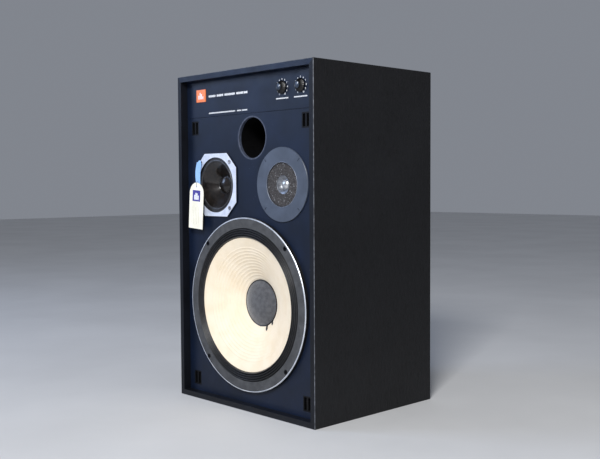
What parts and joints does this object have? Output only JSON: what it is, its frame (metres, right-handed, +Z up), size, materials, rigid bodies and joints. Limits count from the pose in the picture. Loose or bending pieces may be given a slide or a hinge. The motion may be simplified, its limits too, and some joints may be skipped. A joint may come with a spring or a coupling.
{
  "type": "loudspeaker",
  "caption": "Three-way monitor loudspeaker in a black wood-grain cabinet, with a large pleated-edge woofer, midrange, ringed tweeter, bass port, two level knobs and a hang tag",
  "frame": {"origin": "centre of the cabinet's base, on the surface that it stands on", "axes": "+Z up, the front baffle faces -Y, +X is the right-hand side seen from the front"},
  "size_m": [0.362, 0.298, 0.597],
  "materials": {
    "black_ash_veneer": "open-grained, stained black, satin",
    "navy_paint": "sprayed, fine matt texture",
    "navy_metal": "sprayed, fine matt texture",
    "orange_badge": "gloss",
    "black_card_tube": "matt paint",
    "black_moulding": "moulded, satin",
    "black_gloss_moulding": "moulded, gloss",
    "red_gloss_moulding": "moulded, gloss",
    "turned_steel": "turned",
    "plated_brass": "plated",
    "black_cast_alloy": "cast, black paint, machined rim",
    "grey_gasket": "matt",
    "black_doped_cloth": "doped cloth",
    "cream_paper": "felted, ribbed, coated",
    "charcoal_felt": "pressed felt",
    "black_paper": "felted, glossy dope",
    "copper_winding": "enamelled wire",
    "ferrite": "sintered",
    "zinc_steel": "zinc plated",
    "silver_cast_alloy": "cast, silver paint, speckled",
    "grey_plate_paint": "sprayed, fine texture",
    "brown_foam": "open-cell foam",
    "silver_cap": "pressed foil",
    "black_screw": "black oxide",
    "hardboard": "smooth pressed board",
    "raw_board": "sawn",
    "black_back_paint": "brushed matt paint",
    "yellow_film": "wrapped film",
    "wadding": "felted fibre",
    "wire_sleeve": "extruded sleeve",
    "cream_card": "coated card, printed",
    "blue_satin": "woven satin ribbon",
    "foil_label": "printed foil"
  },
  "bodies": {
    "cabinet": {"top_panel": "black_ash_veneer", "bottom_panel": "black_ash_veneer", "left_side_panel": "black_ash_veneer", "right_side_panel": "black_ash_veneer", "back_panel": "black_back_paint", "front_baffle": "navy_paint", "corner_glue_blocks": "raw_board", "damping_lining": "wadding", "control_panel": "navy_metal", "badge": "orange_badge", "port_tube": "black_card_tube", "upper_grille_catches": "black_moulding", "lower_grille_catches": "black_moulding", "mid_level_housing": "black_moulding", "high_level_housing": "black_moulding", "level_control_nuts": "plated_brass", "woofer_basket": "black_cast_alloy", "woofer_gasket": "grey_gasket", "woofer_surround": "black_doped_cloth", "woofer_spider": "black_doped_cloth", "woofer_top_plate": "zinc_steel", "woofer_magnet": "ferrite", "woofer_pole_piece": "zinc_steel", "woofer_tinsel_leads": "copper_winding", "woofer_screws": "black_screw", "mid_frame": "silver_cast_alloy", "mid_surround": "black_doped_cloth", "mid_spider": "black_doped_cloth", "mid_top_plate": "zinc_steel", "mid_magnet": "ferrite", "mid_pole_piece": "zinc_steel", "mid_rear_chamber": "black_moulding", "mid_screws": "turned_steel", "tweeter_plate": "grey_plate_paint", "tweeter_foam_ring": "brown_foam", "tweeter_motor": "zinc_steel", "tweeter_screws": "black_screw", "crossover_board": "hardboard", "crossover_capacitors": "yellow_film", "crossover_inductors": "copper_winding", "terminal_cup": "black_moulding", "rating_plate": "foil_label", "internal_wiring": "wire_sleeve"},
    "mid_level_control": {"mid_level_knob": "black_gloss_moulding", "mid_level_shaft": "turned_steel"},
    "high_level_control": {"high_level_knob": "black_gloss_moulding", "high_level_shaft": "turned_steel"},
    "woofer_diaphragm": {"woofer_cone": "cream_paper", "woofer_dust_cap": "charcoal_felt", "woofer_voice_coil": "copper_winding"},
    "mid_diaphragm": {"mid_cone": "black_paper", "mid_dust_cap": "black_paper", "mid_voice_coil": "copper_winding"},
    "tweeter_diaphragm": {"tweeter_cone": "black_paper", "tweeter_dust_cap": "silver_cap", "tweeter_voice_coil": "copper_winding"},
    "red_button": {"red_terminal_button": "red_gloss_moulding"},
    "black_button": {"black_terminal_button": "black_gloss_moulding"},
    "swing_tag": {"hang_tag": "cream_card", "tag_ribbon": "blue_satin"}
  },
  "joints": [
    {"name": "mid_level_turn", "type": "hinge", "parent": "cabinet", "child": "mid_level_control", "pos_m": [0.0922, -0.139, 0.558], "axis": [0, 1, 0], "range_deg": [-205, 95]},
    {"name": "high_level_turn", "type": "hinge", "parent": "cabinet", "child": "high_level_control", "pos_m": [0.1367, -0.139, 0.558], "axis": [0, 1, 0], "range_deg": [-190, 110]},
    {"name": "woofer_stroke", "type": "slide", "parent": "cabinet", "child": "woofer_diaphragm", "axis": [0, -1, 0], "range_m": [-0.005, 0.005], "stiffness_N_per_m": 1350, "deforming": ["woofer_surround", "woofer_spider", "woofer_tinsel_leads"]},
    {"name": "mid_stroke", "type": "slide", "parent": "cabinet", "child": "mid_diaphragm", "axis": [0, -1, 0], "range_m": [-0.0015, 0.0015], "stiffness_N_per_m": 600, "deforming": ["mid_surround", "mid_spider"]},
    {"name": "tweeter_stroke", "type": "slide", "parent": "cabinet", "child": "tweeter_diaphragm", "axis": [0, -1, 0], "range_m": [-0.0005, 0.0005], "stiffness_N_per_m": 150},
    {"name": "red_button_push", "type": "slide", "parent": "cabinet", "child": "red_button", "axis": [0, -1, 0], "range_m": [0, 0.003], "stiffness_N_per_m": 300, "springref_m": -0.002},
    {"name": "black_button_push", "type": "slide", "parent": "cabinet", "child": "black_button", "axis": [0, -1, 0], "range_m": [0, 0.003], "stiffness_N_per_m": 300, "springref_m": -0.002},
    {"name": "tag_swing", "type": "hinge", "parent": "cabinet", "child": "swing_tag", "pos_m": [-0.12701, -0.141, 0.43701], "axis": [0, 1, 0], "range_deg": [-40, 5]}
  ]
}
